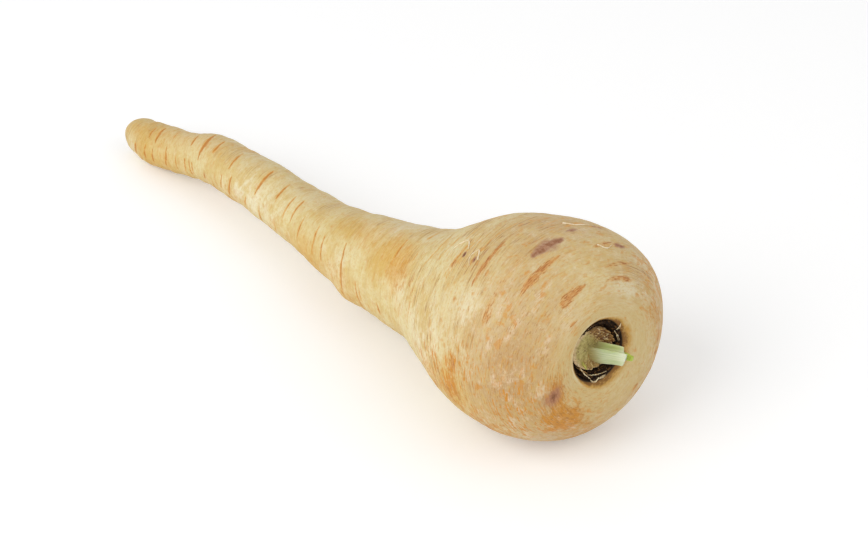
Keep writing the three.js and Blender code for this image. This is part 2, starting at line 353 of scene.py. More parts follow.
def readSkin(mesh):
    # the straight root's own directions for every vertex, in mm and radians
    place = readVectors(mesh, "co")
    run = np.empty(len(mesh.vertices), np.float32)
    mesh.attributes["run"].data.foreach_get("value", run)
    return SimpleNamespace(
        mesh=mesh,
        run=run.astype(float),
        along=place[:, 2],
        angle=np.arctan2(place[:, 1], place[:, 0]),
        radius=np.hypot(place[:, 0], place[:, 1]),
    )


def mouthShape(x, y):
    # how much wider than round the pit's mouth is, towards a direction in the crown's plane
    stretch, degrees = rootShape["mouthStretch"]
    turn = math.radians(degrees)
    stretched = np.clip(x * math.cos(turn) + y * math.sin(turn), 0, 1) ** 2
    return 1 + stretch * stretched - rootShape["mouthSqueeze"] * np.clip(x, 0, 1) ** 2


def bendRoot(skin):
    # broad lumps, then the mouth's own shape, then onto the centre line, with the pit leaning
    lobes = np.sin(2 * skin.angle + skin.along / 17) + 0.6 * np.sin(3 * skin.angle - skin.along / 9 + 1)
    ridges = np.sin(skin.along / 6.5 + 1.6 * np.sin(skin.angle + 0.8))
    swell = rootShape["lobes"] * lobes + rootShape["ridges"] * ridges
    swell *= smoothStep(skin.along, *rootShape["lobesFrom"]) * smoothStep(skin.radius, 0, 2)
    reach = skin.radius + np.where(skin.run > 0, swell, 0)
    byCrown = skin.along < rootShape["crownDepth"]
    mouth = byCrown * (1 - smoothStep(skin.radius, *rootShape["mouthFade"]))
    reach *= 1 + mouth * (mouthShape(-np.cos(skin.angle), np.sin(skin.angle)) - 1)
    centre, _, aside, up = spineFrames(skin.along)
    lean = byCrown * (1 - smoothStep(skin.radius, rootShape["pit"][-1][0], rootShape["leanLimit"]))
    place = centre + (reach * np.cos(skin.angle))[:, None] * aside
    place += (reach * np.sin(skin.angle))[:, None] * up
    return place + lean[:, None] * crownAxes().lean


def crownAxes():
    out = -spineFrames(np.array([0.5]))[1][0]
    side = np.cross([0, 0, 1], out)
    side /= np.linalg.norm(side)
    up = np.cross(out, side)
    lean = rootShape["pitLean"][0] * side + rootShape["pitLean"][1] * up
    return SimpleNamespace(out=out, side=side, up=up, lean=lean)


def frameShift(place):
    # moves the bent root to where the model has it: its crown end, its middle line and its top
    low, high = (np.array(corner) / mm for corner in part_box("root"))
    made = place.min(0), place.max(0)
    return np.array([
        high[0] - made[1][0],
        (low[1] + high[1] - made[0][1] - made[1][1]) / 2,
        high[2] - made[1][2],
    ])


def spotStrength(skin, run, degrees, alongSize, roundSize, strength):
    # a soft spot on the skin, with its half sizes along the root and round it in mm
    turn = (skin.angle - math.radians(degrees) + math.pi) % (2 * math.pi) - math.pi
    distance = ((skin.run - run) / alongSize) ** 2 + (turn * skin.radius / roundSize) ** 2
    return strength * np.exp(-0.7 * distance)


def swellSkin(skin):
    aside, up = spineFrames(skin.along)[2:]
    outward = np.cos(skin.angle)[:, None] * aside + np.sin(skin.angle)[:, None] * up
    height = sum(spotStrength(skin, *spot) for spot in rootShape["swellings"])
    height *= smoothStep(skin.run, 0, 10) * smoothStep(skin.radius, 0, 3)
    skin.place += height[:, None] * outward


rootMesh = makeRootMesh()
skin = readSkin(rootMesh)
skin.place = bendRoot(skin)
skin.shift = frameShift(skin.place)
skin.place += skin.shift
swellSkin(skin)
print("root spun and bent:", len(skin.run), "vertices, shifted by", skin.shift.round(2), "mm")


# Cracks round the neck and the tail: width, strength, where along it is widest, and its places
# as distance over the skin from the pit and degrees round from the side that faces the light.
creases = [
    (1.3, 0.5, 0.5, [(86, 97), (86.5, 76)]),
    (1.1, 0.7, 0.7, [(94, 76), (93.6, 58), (93.4, 42)]),
    (1.3, 0.9, 0.6, [(98, -1), (97.6, -16)]),
    (0.9, 0.5, 0.6, [(107.6, 4), (107.2, -16)]),
    (1.1, 1.0, 0.5, [(118.4, 48), (117.4, 30), (117.2, 0), (118.6, -30)]),
    (0.8, 0.4, 0.5, [(122.6, 3), (123.4, -11)]),
    (1.2, 0.9, 0.5, [(130, 45), (129.5, 22), (129, 2)]),
    (1.1, 0.7, 0.5, [(135.9, 57), (135, 28), (134.8, 3)]),
    (1.1, 0.8, 0.7, [(145.7, 51), (145.2, 12)]),
    (1.1, 0.9, 0.4, [(152.6, 76), (152.4, 24)]),
    (1.0, 0.7, 0.3, [(157.1, 77), (157, 5)]),
    (1.0, 0.5, 0.6, [(161.8, 9), (161.2, -16)]),
    (1.3, 0.9, 0.7, [(165, 87), (164.5, 43)]),
    (1.5, 1.0, 0.4, [(176, 93), (175.6, 52), (175.8, 26)]),
    (1.2, 0.7, 0.5, [(179.7, 13), (180.5, -14)]),
    (1.3, 1.2, 0.6, [(191, 32), (191.2, 4), (192.2, -18)]),
    (1.2, 1.0, 0.5, [(194.6, 91), (194, 37)]),
    (1.0, 0.9, 0.7, [(196, 29), (196.8, -12)]),
    (1.4, 1.0, 0.5, [(206, 98), (205.4, 52)]),
    (1.2, 1.2, 0.6, [(208, 5), (209, -18)]),
    (1.9, 1.2, 0.5, [(213, 108), (211.6, 72), (211.9, 27)]),
    (1.0, 0.8, 0.5, [(215.5, 16), (216, -17)]),
    (1.3, 1.0, 0.5, [(218.3, 87), (217.8, 51)]),
    (1.0, 0.9, 0.6, [(219.4, 26), (220, -15)]),
    (1.0, 0.7, 0.5, [(225, 21), (225.4, -16)]),
    (1.0, 0.7, 0.5, [(230, 96), (229.6, 60)]),
    (1.2, 1.1, 0.6, [(231, 46), (230.5, 12), (231.4, -17)]),
    (1.6, 1.1, 0.5, [(239.2, 101), (238.2, 41)]),
    (1.1, 1.0, 0.6, [(238.5, 23), (239, -19)]),
    (1.2, 0.9, 0.5, [(243.4, 93), (242.6, 49)]),
    (1.1, 0.9, 0.6, [(242.7, 29), (243.2, -15)]),
    (2.0, 1.0, 0.5, [(248.4, 24), (249, -19)]),
    # the shoulder, where the bulb narrows to the neck
    (0.8, 0.5, 0.3, [(48.6, 95), (50, 72), (51.2, 52)]),
    (0.7, 0.4, 0.5, [(52.4, 92), (54.2, 66), (55.4, 50)]),
    (0.8, 0.5, 0.6, [(54.6, 84), (56.6, 60), (58.8, 47)]),
    (0.9, 0.8, 0.5, [(56.9, 75), (58.4, 60), (61.2, 44)]),
    (0.7, 0.4, 0.4, [(59.8, 90), (62.6, 62)]),
    (1.4, 0.4, 0.4, [(65.4, 86), (66.6, 72), (69, 57)]),
    (0.8, 0.3, 0.5, [(69.4, 84), (71.8, 58)]),
    (1.4, 0.5, 0.5, [(73, 83), (73.8, 66), (76.4, 50)]),
    (0.8, 0.3, 0.5, [(81, 92), (81.6, 64)]),
    # wrinkles over the top of the bulb
    (0.9, 0.5, 0.4, [(35, 125), (34.6, 110)]),
    (0.8, 0.5, 0.5, [(37.6, 118), (36.8, 99)]),
    (0.7, 0.4, 0.5, [(41.6, 112), (40.4, 92)]),
    (0.7, 0.3, 0.5, [(45.6, 108), (44.6, 84)]),
]

# Healed scars on the bulb, flush or a little raised, given in the same way.
scars = [
    (2.3, 0.8, 0.25, [(15.4, 125), (15.8, 112), (15.4, 98)]),
    (1.9, 0.6, 0.3, [(20.8, 124), (20, 113), (19.2, 100)]),
    (2.0, 0.7, 0.6, [(26.2, 125), (26.4, 113), (26, 100)]),
    (1.4, 0.4, 0.5, [(31.6, 123), (31.8, 108)]),
    (3.6, 1.0, 0.8, [(16.6, 84), (16.4, 72), (15.9, 61)]),
    (1.7, 0.8, 0.6, [(9.2, 63), (9.4, 53)]),
    (3.1, 1.0, 0.68, [(27.6, 82), (27.2, 66), (26.9, 52)]),
    (1.2, 0.3, 0.5, [(27.4, 98), (26.8, 76)]),
    (4.2, 0.34, 0.6, [(35, 70), (34.8, 58), (34, 42)]),
    (4.2, 0.55, 0.62, [(34.2, 47), (33.8, 38), (33.4, 29)]),
    (1.1, 1.0, 0.5, [(32.2, 40), (32.6, 31)]),
    (2.3, 1.0, 0.7, [(44.2, 74), (44.6, 58), (45.4, 45)]),
    (1.2, 0.4, 0.5, [(44.6, 88), (44.4, 70)]),
    (1.8, 0.9, 0.5, [(50.4, 61), (51.4, 56)]),
    (1.8, 0.9, 0.5, [(57.8, 60), (58.8, 53)]),
    (2.2, 0.6, 0.5, [(79, 46), (79.2, 33)]),
    (1.8, 0.6, 0.5, [(32.4, 89), (32.8, 74)]),
    (1.2, 0.6, 0.5, [(25.3, 31), (25.7, 19)]),
    (1.2, 0.6, 0.5, [(42.2, 37), (42.8, 33)]),
    (1.7, 0.8, 0.5, [(50.6, 39), (51.2, 36)]),
    (1.9, 0.9, 0.5, [(46.5, 9), (46.6, 2)]),
    (1.3, 0.5, 0.5, [(49.5, -4), (49.8, -11)]),
]

# Purple-brown bruises, and black knots with a strength above 1.
bruises = [
    (4.6, 0.8, 0.5, [(32.2, 92), (32.4, 82), (32.8, 71)]),
    (1.6, 0.8, 0.5, [(34, 121), (35.4, 116)]),
    (1.8, 0.7, 0.5, [(34.2, 105), (34.6, 97)]),
    (2.0, 0.7, 0.6, [(26, 124), (26.2, 116)]),
    (1.2, 1.6, 0.5, [(49.8, 61.5), (50.8, 59.5)]),
    (1.2, 1.6, 0.5, [(55.6, 61.5), (57, 63)]),
]

# Soft tints of each kind: distance from the pit, degrees round, half sizes along and round, strength.
# Gold turns pale where its strength is below 0; these pale patches are partly the skin's own paler tone and
# partly painted highlight.
tints = {
    "ochre": [
        (11.5, -46, 5.5, 8.5, 1.1), (46.5, 6, 2.0, 3.4, 1.0), (39, 6, 9, 6, 0.5), (52, -12, 8, 8, 0.75),
        (24, -26, 8, 7, 0.5), (89, 46, 6, 8, 0.8), (97, 52, 7, 9, 0.4), (84.5, 10, 3, 4, 0.4),
        (141, 6, 5, 6, 0.5), (133, -10, 8, 7, 0.3), (117, -26, 6, 6, 0.6), (233, -38, 12, 6, 0.4),
        (246, -10, 8, 5, 0.35), (12, 130, 6, 9, 0.2), (13, 160, 5, 8, 0.6), (62, -12, 8, 8, 0.6),
        (62, 103, 7, 5, 0.4), (248, 56, 3, 5, 0.4), (161, -18, 9, 6, 0.4), (190, -22, 12, 6, 0.5),
        (215, 55, 14, 5, 0.2), (30, -38, 9, 8, 0.6), (18, -80, 9, 9, 0.5), (42, -34, 9, 8, 0.7),
        (9, -24, 5, 9, 0.7), (130, -14, 30, 7, 0.5), (228, 72, 30, 7, 0.4), (236, 15, 20, 14, 0.35),
        (110, 66, 12, 7, 0.45), (6, 75, 4, 6, 0.4), (77, 28, 6, 6, 0.3), (16, 195, 6, 9, 0.6),
        (49, -6, 3.5, 9, 0.75), (55, -20, 6, 8, 0.6), (44, 12, 4, 5, 0.5), (97, 58, 6, 9, 0.5),
        (8, -18, 4, 7, 0.9), (60, 2, 6, 5, 0.5), (10, -30, 4, 5, 0.5), (120, -6, 12, 8, 0.5),
    ],
    "blush": [
        (21, 8, 14, 22, 1.0), (26, 48, 11, 12, 0.6), (34, 76, 8, 8, 0.45), (16, -22, 9, 12, 0.8),
        (38, 104, 9, 10, 0.5), (11, -12, 7, 9, 1.0),
    ],
    "bruise": [
        (9.2, -16, 2.4, 1.9, 0.9), (8.6, -14, 3.4, 2.6, 0.30),
    ],
    # tan greys the skin, mostly over the top: partly the skin's own tone and partly painted shade
    "tan": [
        (20, 130, 9, 9, 0.7), (38, 92, 13, 12, 0.5), (28, 75, 9, 12, 0.4), (100, 95, 28, 9, 0.6),
        (150, 95, 30, 6, 0.6), (205, 95, 40, 6, 0.7), (16, 175, 9, 14, 0.5), (255, 60, 8, 8, 0.5),
    ],
    "gold": [
        (7, -22, 5, 9, 0.8), (50, -8, 6, 6, 1.0), (142, -8, 8, 5, 0.8), (98, 58, 5, 7, 0.6),
        (122, 66, 7, 4, 0.6), (140, 68, 9, 4, 0.5), (86, 28, 7, 6, -0.6), (62, 6, 6, 6, -0.8),
        (120, 10, 7, 5, -0.3), (250, -10, 5, 5, -1.0), (180, 22, 7, 5, -0.7), (42, 34, 6, 7, -0.35),
        (20, 148, 7, 8, -1.0), (22, -52, 7, 7, -0.8), (60, 76, 5, 5, -0.6), (86, 76, 5, 5, -0.5),
        (102, 82, 6, 4, -0.7), (100, 55, 8, 8, 1.0), (120, 66, 8, 4, 0.8), (124, -38, 12, 4, 0.8),
        (142, -24, 12, 9, 1.0), (50, -18, 8, 10, 1.0), (10, -35, 9, 14, 1.0), (222, -42, 12, 5, 0.8),
        (242, -32, 9, 6, 1.0), (244, 78, 14, 8, 0.7), (86, 66, 6, 8, 0.6), (202, 64, 9, 6, 0.6),
        (20, -18, 8, 8, 0.6), (66, 14, 9, 10, -0.7), (182, 12, 10, 6, -1.0), (122, 18, 10, 7, -0.5),
        (100, 88, 9, 7, -0.8), (252, -6, 5, 5, -1.0), (40, 28, 9, 9, -0.6), (12, 132, 5, 9, -1.0),
        (162, 10, 8, 6, -0.7), (200, 112, 9, 5, -0.9), (244, 20, 14, 9, 0.7), (8, 60, 5, 12, -0.4),
        (150, 92, 12, 6, -0.4),
    ],
}

skinTexture = {
    "seed": 11,
    # waves over the skin: mm along, how many round, height in mm, then its share everywhere, and what
    # the slim part, the tail and the shoulder add to that
    "waves": [
        (9, 5, 0.30, 0.6, 0.4, 0, 0),
        (3.4, 5, 0.20, 0.2, 0.5, 0.7, 0),
        (0.95, 11, 0.09, 0.25, 0.45, 0, 0.6),
        (0.6, 24, 0.054, 0.25, 0.45, 0, 0.6),
    ],
    "slimFrom": (40, 85),            # distance over the skin, in mm
    "tailFrom": (170, 215),
    "raggedness": (0.9, 70),         # mm along and how many round, for the marks' torn edges
    "creaseDepth": 0.20,
    "creaseWidth": 0.78,
    "scarHeight": 0.10,
    "stainWidths": [                 # degrees round the pit, and how far the stain reaches in mm
        (0, 0.2), (70, 0.3), (105, 0.8), (135, 2.2), (160, 3.2), (200, 3.2), (235, 3.2), (275, 2.8),
        (300, 1.2), (330, 0.3), (360, 0.2),
    ],
    "hiddenSide": (118, 325),        # degrees, where the marks are strewn by chance
    "strewn": {"scar": 30, "bruise": 5, "ochre": 26},    # how many there
    "shoulderRing": (58, 16),        # where the bulb narrows and its skin wrinkles, and how widely
}


def markStrength(skin, width, widest, stops):
    # 1 in the middle of a stroke through the stops, fading to 0 at its edge and at its two ends
    stops = np.array(stops, float)
    middle = math.radians((stops[:, 1].max() + stops[:, 1].min()) / 2)
    turn = (skin.angle - middle + math.pi) % (2 * math.pi) - math.pi
    half = np.radians(np.ptp(stops[:, 1])) / 2 + 0.25
    inReach = np.abs(skin.run - stops[:, 0].mean()) < np.ptp(stops[:, 0]) + 2 * width
    near = np.flatnonzero(inReach & (np.abs(turn) < half))
    strength = np.zeros(len(skin.run))
    if not len(near):
        return strength
    point = np.stack([skin.run[near], turn[near] * skin.radius[near]], axis=1)
    radius = np.interp(stops[:, 0], skin.ringRun, skin.ringRadius)
    path = np.stack([stops[:, 0], (np.radians(stops[:, 1]) - middle) * radius], axis=1)
    lengths = np.linalg.norm(np.diff(path, axis=0), axis=1)
    best = np.full(len(near), np.inf)
    share = np.zeros(len(near))
    for start, end, length, before in zip(path, path[1:], lengths, np.cumsum([0, *lengths])):
        part = np.clip((point - start) @ (end - start) / length**2, 0, 1)
        away = np.linalg.norm(point - start - part[:, None] * (end - start), axis=1)
        closer = away < best
        best = np.where(closer, away, best)
        share = np.where(closer, (before + part * length) / lengths.sum(), share)
    taper = np.clip(np.minimum(share / widest, (1 - share) / (1 - widest)), 0, 1) ** 0.6
    ragged = 1 + 0.3 * skin.ragged[near]
    strength[near] = 1 - smoothStep(best / (width / 2 * taper * ragged + 0.02), 0.1, 1.7)
    return strength


def strewnMarks(dice):
    # creases, scars and stains for the side that lies turned away
    low, high = skinTexture["hiddenSide"]
    run = 50
    while run < 252:
        start = dice.uniform(low, high)
        end = start + dice.uniform(22, 70)
        places = [(run, start), (run + dice.uniform(-0.8, 0.8), end)]
        yield "crease", (dice.uniform(0.8, 1.6), dice.uniform(0.3, 1), dice.uniform(0.3, 0.7), places)
        run += dice.uniform(1.6, 4.2)
    for _ in range(skinTexture["strewn"]["scar"]):
        run, start = dice.uniform(8, 62), dice.uniform(low + 12, high - 15)
        places = [(run, start), (run, start + dice.uniform(6, 24) * 25 / max(run, 20))]
        yield "scar", (dice.uniform(1.2, 3.2), dice.uniform(0.4, 1), dice.uniform(0.2, 0.8), places)
    for _ in range(skinTexture["strewn"]["bruise"]):
        run, start = dice.uniform(8, 70), dice.uniform(low, high)
        yield "bruise", (dice.uniform(2, 4), dice.uniform(0.5, 0.8), 0.5, [(run, start), (run, start + 12)])
    for _ in range(skinTexture["strewn"]["ochre"]):
        run = dice.uniform(4, 250)
        size = dice.uniform(4, 10)
        degrees = dice.uniform(low, high)
        yield "ochre", (run, degrees, size, size * dice.uniform(0.7, 1.3), dice.uniform(0.2, 0.65))
    for run, degrees in ((24, 230), (40, 285), (18, 300), (30, 180)):
        yield "blush", (run, degrees, 13, 16, 0.7)


def markSkin(skin):
    # adds up the height of the skin and the strength of each colour at every vertex
    seed = skinTexture["seed"]
    order = np.argsort(skin.run)
    skin.ringRun, skin.ringRadius = skin.run[order], skin.radius[order]
    skin.ragged = ringNoise(skin.run, skin.angle, *skinTexture["raggedness"], seed)
    strokes = {"crease": creases, "scar": scars, "bruise": bruises}
    marks = [(kind, mark) for kinds in (strokes, tints) for kind, group in kinds.items() for mark in group]
    layers = {kind: np.zeros(len(skin.run)) for kind in (*strokes, *tints)}
    for kind, mark in marks + list(strewnMarks(random.Random(seed))):
        if isinstance(mark[-1], list):
            width, strength, widest, stops = mark
            if kind == "crease":
                width *= skinTexture["creaseWidth"]
            shape = strength * markStrength(skin, width, widest, stops)
        else:
            shape = spotStrength(skin, *mark)
        layers[kind] = layers[kind] + shape if kind == "gold" else np.maximum(layers[kind], shape)
    slim = smoothStep(skin.run, *skinTexture["slimFrom"])
    tail = smoothStep(skin.run, *skinTexture["tailFrom"])
    ring, reach = skinTexture["shoulderRing"]
    shoulder = np.exp(-((skin.run - ring) / reach) ** 2)
    height = 0
    for index, (cell, count, size, base, onSlim, onTail, onShoulder) in enumerate(skinTexture["waves"], 1):
        share = base + onSlim * slim + onTail * tail + onShoulder * shoulder
        height += size * share * ringNoise(skin.run, skin.angle, cell, count, seed + index)
    height *= smoothStep(skin.run, 1, 8)
    height -= skinTexture["creaseDepth"] * layers["crease"]
    height += skinTexture["scarHeight"] * layers["scar"] * (0.6 + 2 * skin.ragged)
    height -= 0.6 * skinTexture["creaseDepth"] * layers["bruise"] * (1 + 0.5 * skin.ragged)
    return height, layers


def rimStains(skin):
    # brown from the soil, wider on the sides where the pit's edge slopes in, and the soiled inside
    widths = skinTexture["stainWidths"]
    degrees = np.degrees(skin.angle) % 360
    width = np.interp(degrees, [stop for stop, _ in widths], [size for _, size in widths])
    stain = 1 - smoothStep(skin.run / width, 0.0, 1.25)
    return stain * (skin.run > -1), 1 - smoothStep(skin.run, -0.35, 0.05)


def finishRootMesh(skin):
    height, layers = markSkin(skin)
    moveVerts(skin.mesh, skin.place)
    normals = readVectors(skin.mesh, "normal")
    skin.place = skin.place + normals * (height * (skin.run > 0))[:, None]
    skin.place[:, 2] = np.maximum(skin.place[:, 2], 0)
    moveVerts(skin.mesh, skin.place * mm)
    across, upward = skin.radius * np.cos(skin.angle), skin.radius * np.sin(skin.angle)
    fields = {
        "flow": [skin.run * mm, across * mm, upward * mm],
        "marks": [layers[kind] for kind in ("crease", "scar", "bruise")],
        "tints": [layers[kind] for kind in ("ochre", "blush", "tan")],
        "rim": [*rimStains(skin), layers["gold"]],
    }
    for name, parts in fields.items():
        storeField(skin.mesh, name, np.stack(parts, axis=1))


# How the skin is coloured. Grains are noise: how it is squeezed, cells in a metre, detail, roughness.
skinColours = {
    "cream": paint(221, 206, 153),
    "gold": paint(209, 176, 98),
    "warm": paint(198, 166, 114),    # the pinkish tan of the bulb's face
    "blush": paint(184, 145, 98),
    # a greyer tan, partly painted shade over the top of the root
    "tan": paint(200, 174, 132),
    "shoulder": paint(208, 184, 128),
    "amber": paint(220, 172, 88),
    "ochre": paint(200, 138, 42),
    "ochreDeep": paint(172, 106, 28),
    "pale": paint(230, 220, 184),
    "stroke": paint(170, 118, 58),
    "furrow": paint(162, 110, 56),
    "rosy": paint(217, 190, 158),
    "fleck": paint(204, 134, 34),
    "scarEdge": paint(208, 162, 92),
    "scar": paint(190, 124, 62),
    "scarCore": paint(156, 92, 42),
    "crease": paint(212, 154, 68),
    "creaseCore": paint(180, 108, 38),
    "bruise": paint(164, 116, 92),
    "bruiseCore": paint(134, 84, 50),
    "knot": paint(52, 36, 30),
    "stainEdge": paint(190, 140, 46),
    "stain": paint(116, 70, 10),
    "pit": paint(46, 30, 16),
    "grains": {
        "clouds": ((1.5, 1, 1), 62, 6, 0.66),
        "mottle": ((1.2, 1, 1), 420, 4, 0.75),
        "blotches": ((1.3, 1, 1), 150, 5, 0.7),
        "flecks": ((5.0, 1, 1), 330, 3, 0.62),
        "lines": ((24, 1, 1), 38, 1, 0.5),
        "strokes": ((6.0, 1, 1), 460, 3, 0.66),
        "threads": ((9, 1, 1), 210, 3, 0.6),
        "specks": ((1.2, 1, 1), 1100, 3, 0.75),
        "dapple": ((1.2, 1, 1), 260, 3, 0.5),
    },
    "relief": {"threads": 0.00013, "strokes": 0.00002, "specks": 0.00005},    # in m
}


def skinMaterial():
    material, tree = newMaterial("parsnip_skin")
    flow = attributeOf(tree, "flow")
    crease, scar, bruise = partsOf(tree, attributeOf(tree, "marks"))
    ochre, blush, tan = partsOf(tree, attributeOf(tree, "tints"))
    stain, soiled, gold = partsOf(tree, attributeOf(tree, "rim"))
    run = partsOf(tree, flow)[0]
    grains = {name: grain(tree, flow, *how) for name, how in skinColours["grains"].items()}
    coats = []

    def coat(share, name, strength=1.0):
        coats.append((both(share, strength), skinColours[name]))

    def both(first, second):
        return calc(tree, "MULTIPLY", first, second, clamp=True)

    def within(name, low, high, *shares):
        return fade(tree, grains[name], low, high, *shares)

    bulb = fade(tree, run, 0.075, 0.045)
    coat(within("clouds", 0.42, 0.60), "gold", 0.54)
    coat(both(bulb, within("clouds", 0.3, 0.7, 0.2, 0.6)), "warm")
    coat(both(gold, within("clouds", 0.35, 0.6, 0.5, 1)), "gold")
    # gold below 0 paints pale patches: partly the skin's own paler tone, partly painted highlight
    coat(both(calc(tree, "MULTIPLY", gold, -1), within("clouds", 0.6, 0.4)), "pale")
    # the tan over the top is partly the skin's own tone and partly painted shade
    coat(tan, "tan", 0.7)
    coat(blush, "blush", 0.85)
    coat(both(blush, within("blotches", 0.50, 0.36)), "rosy", 0.75)
    coat(both(bulb, within("blotches", 0.46, 0.32)), "pale", 0.20)
    coat(both(bulb, within("blotches", 0.54, 0.68)), "blush", 0.25)
    coat(within("mottle", 0.46, 0.66), "gold", 0.40)
    coat(within("mottle", 0.46, 0.30), "pale", 0.25)
    coat(fade(tree, run, 0.013, 0.004), "shoulder", 0.75)

    # ochre lies in broken patches on the bulb and as a soft amber elsewhere
    coat(both(fade(tree, ochre, 0.1, 0.9), calc(tree, "SUBTRACT", 1, bulb)), "amber", 0.6)
    broken = calc(tree, "ADD", grains["blotches"], grains["mottle"])
    patch = fade(tree, calc(tree, "MULTIPLY_ADD", broken, 1.6, ochre), 2.0, 2.6)
    patch = both(patch, fade(tree, bulb, 0, 1, 0.35, 0.92))
    coat(patch, "ochre")
    coat(both(patch, within("strokes", 0.44, 0.60)), "ochreDeep", 0.85)

    # threads, strokes, flecks and specks
    coat(within("threads", 0.52, 0.72), "pale", 0.16)
    coat(both(within("strokes", 0.54, 0.68), fade(tree, blush, 0.0, 0.8, 0.16, 0.8)), "stroke", 0.9)
    freckled = fade(tree, calc(tree, "MAXIMUM", ochre, gold), 0.0, 0.5, 0.34, 1.0)
    freckled = both(freckled, fade(tree, run, 0.008, 0.020, 0.45, 1))
    freckled = both(freckled, fade(tree, run, 0.095, 0.070, 0.35, 1))
    flecks = calc(tree, "ADD", grains["flecks"], calc(tree, "MULTIPLY", ochre, 0.08))
    coat(both(fade(tree, flecks, 0.57, 0.62), freckled), "fleck", 0.95)
    coat(both(within("dapple", 0.61, 0.68), fade(tree, run, 0.075, 0.045, 0.4, 1)), "fleck", 0.5)
    coat(within("specks", 0.54, 0.70), "ochre", 0.38)
    coat(within("specks", 0.45, 0.30), "pale", 0.12)

    # thin wrinkles, most of them where the bulb narrows
    furrow = calc(tree, "ABSOLUTE", calc(tree, "SUBTRACT", grains["lines"], 0.5))
    narrows = both(fade(tree, run, 0.022, 0.046), fade(tree, run, 0.100, 0.070, 0.2, 1))
    narrows = calc(tree, "MAXIMUM", narrows, calc(tree, "MULTIPLY", tan, 1.3))
    furrow = both(fade(tree, furrow, 0.036, 0.0), both(narrows, fade(tree, run, 0.008, 0.016)))
    coat(both(furrow, within("clouds", 0.44, 0.58, 0.1, 1)), "furrow", 0.85)

    # creases and scars are torn, and bruises mottled
    torn = fade(tree, calc(tree, "ADD", grains["mottle"], grains["strokes"]), 0.72, 1.28, 0.55, 1.6)
    line = both(crease, torn)
    coat(fade(tree, line, 0.04, 0.5), "crease", 0.8)
    coat(fade(tree, line, 0.40, 0.95), "creaseCore", 0.70)
    wound = both(scar, torn)
    coat(fade(tree, wound, 0.0, 0.8), "scarEdge", 0.7)
    coat(fade(tree, wound, 0.30, 1.3), "scar", 0.9)
    coat(both(fade(tree, wound, 0.2, 0.8), within("strokes", 0.5, 0.62)), "scarCore", 0.75)
    dark = calc(tree, "MULTIPLY", bruise, within("mottle", 0.35, 0.65, 0.6, 1.3))
    coat(fade(tree, dark, 0.0, 0.6), "bruise", 0.8)
    coat(fade(tree, dark, 0.4, 1.0), "bruiseCore", 0.8)
    coat(fade(tree, dark, 0.95, 1.3), "knot")

    # the pit's stained edge, a painted highlight along its lip, and its soiled inside
    worn = both(stain, within("mottle", 0.3, 0.7, 0.65, 1.3))
    coat(fade(tree, worn, 0.05, 0.6), "stainEdge", 0.8)
    coat(fade(tree, worn, 0.5, 1.0), "stain", 0.85)
    # a pale line along the lip, where the stain is thin: painted highlight
    coat(both(fade(tree, run, 0.0014, 0.0004), fade(tree, stain, 0.3, 0.0)), "pale", 0.45)
    coat(soiled, "pit")

    relief = None
    for name, depth in skinColours["relief"].items():
        relief = bump(tree, grains[name], depth, relief)
    colour = layCoats(tree, skinColours["cream"], *coats)
    rough = within("mottle", 0.3, 0.7, 0.48, 0.66)
    finishLook(tree, colour, rough, relief, 0.35, (0.06, (1.0, 0.6, 0.3), 0.0015))
    return material


finishRootMesh(skin)
addPiece(rootMesh, "root_skin", skinMaterial(), "skin", "root")
print("root finished")


# The crown's own directions: x to the side, y up over the crown and z out of the pit, in mm from the
# middle of the pit's mouth.
crown = crownAxes()
pitCentre = np.array(rootShape["spine"][0]) + crown.lean + skin.shift
crownTurn = Matrix((crown.side, crown.up, crown.out)).transposed().to_4x4()
crownPlace = Matrix.Scale(mm, 4) @ (Matrix.Translation(pitCentre) @ crownTurn)


def addCrownPiece(bm, name, material, slotName, *nodes):
    # the piece keeps its crown places, in mm, as the attribute that its material reads
    bmesh.ops.recalc_face_normals(bm, faces=bm.faces)
    mesh = toMesh(bm, name)
    storeField(mesh, "crown", readVectors(mesh, "co"))
    mesh.transform(crownPlace)
    return addPiece(mesh, name, material, slotName, *nodes)


def sweepFace(bm, face, stops, sizes, step, turn=0.0, shortenBy=None):
    # extrudes a flat face, drawn round the origin, along a smooth line of stops; both ends are closed,
    # and shortenBy says how much shorter the sweep is at each place of the drawn face
    line, reach = curveThrough(stops, 20)
    count = max(3, round(reach[-1] / step))
    shares = np.linspace(0, 1, count + 1)
    points = [Vector(point) for point in pickAlong(line, reach, shares * reach[-1])]
    scales = np.interp(shares, np.linspace(0, 1, len(sizes)), sizes)
    verts = list(face.verts)
    drawn = [vert.co.copy() for vert in verts]
    heading = Vector((0, 0, 1))
    turned = Matrix.Rotation(turn, 3, "Z")
    for index, point in enumerate(points):
        ahead = (points[min(index + 1, count)] - points[max(index - 1, 0)]).normalized()
        turned = heading.rotation_difference(ahead).to_matrix() @ turned
        heading = ahead
        if index:
            behind = face
            made = bmesh.ops.extrude_face_region(bm, geom=[behind])["geom"]
            face = next(part for part in made if isinstance(part, bmesh.types.BMFace))
            if index > 1:
                bmesh.ops.delete(bm, geom=[behind], context="FACES_ONLY")
            fresh = set(face.verts)
            verts = [next(e.other_vert(v) for e in v.link_edges if e.other_vert(v) in fresh) for v in verts]
        for vert, place in zip(verts, drawn):
            vert.co = point + turned @ (place * scales[index])
            if shortenBy:
                vert.co -= ahead * shortenBy(place) * shares[index] ** 2
    return SimpleNamespace(face=face, end=points[-1])


def roundFace(bm, sides, flatten=1.0):
    verts = bmesh.ops.create_circle(bm, cap_ends=True, segments=sides, radius=1.0)["verts"]
    bmesh.ops.scale(bm, verts=verts, vec=(1, flatten, 1))
    return verts[0].link_faces[0]


def polar(radius, turn, height=0):
    return Vector((radius * math.cos(turn), radius * math.sin(turn), height))


def lobe(turn, towards):
    # 1 on the side of the pit at an angle, fading out over a quarter turn to either side
    return max(0, math.cos(turn - towards)) ** 2


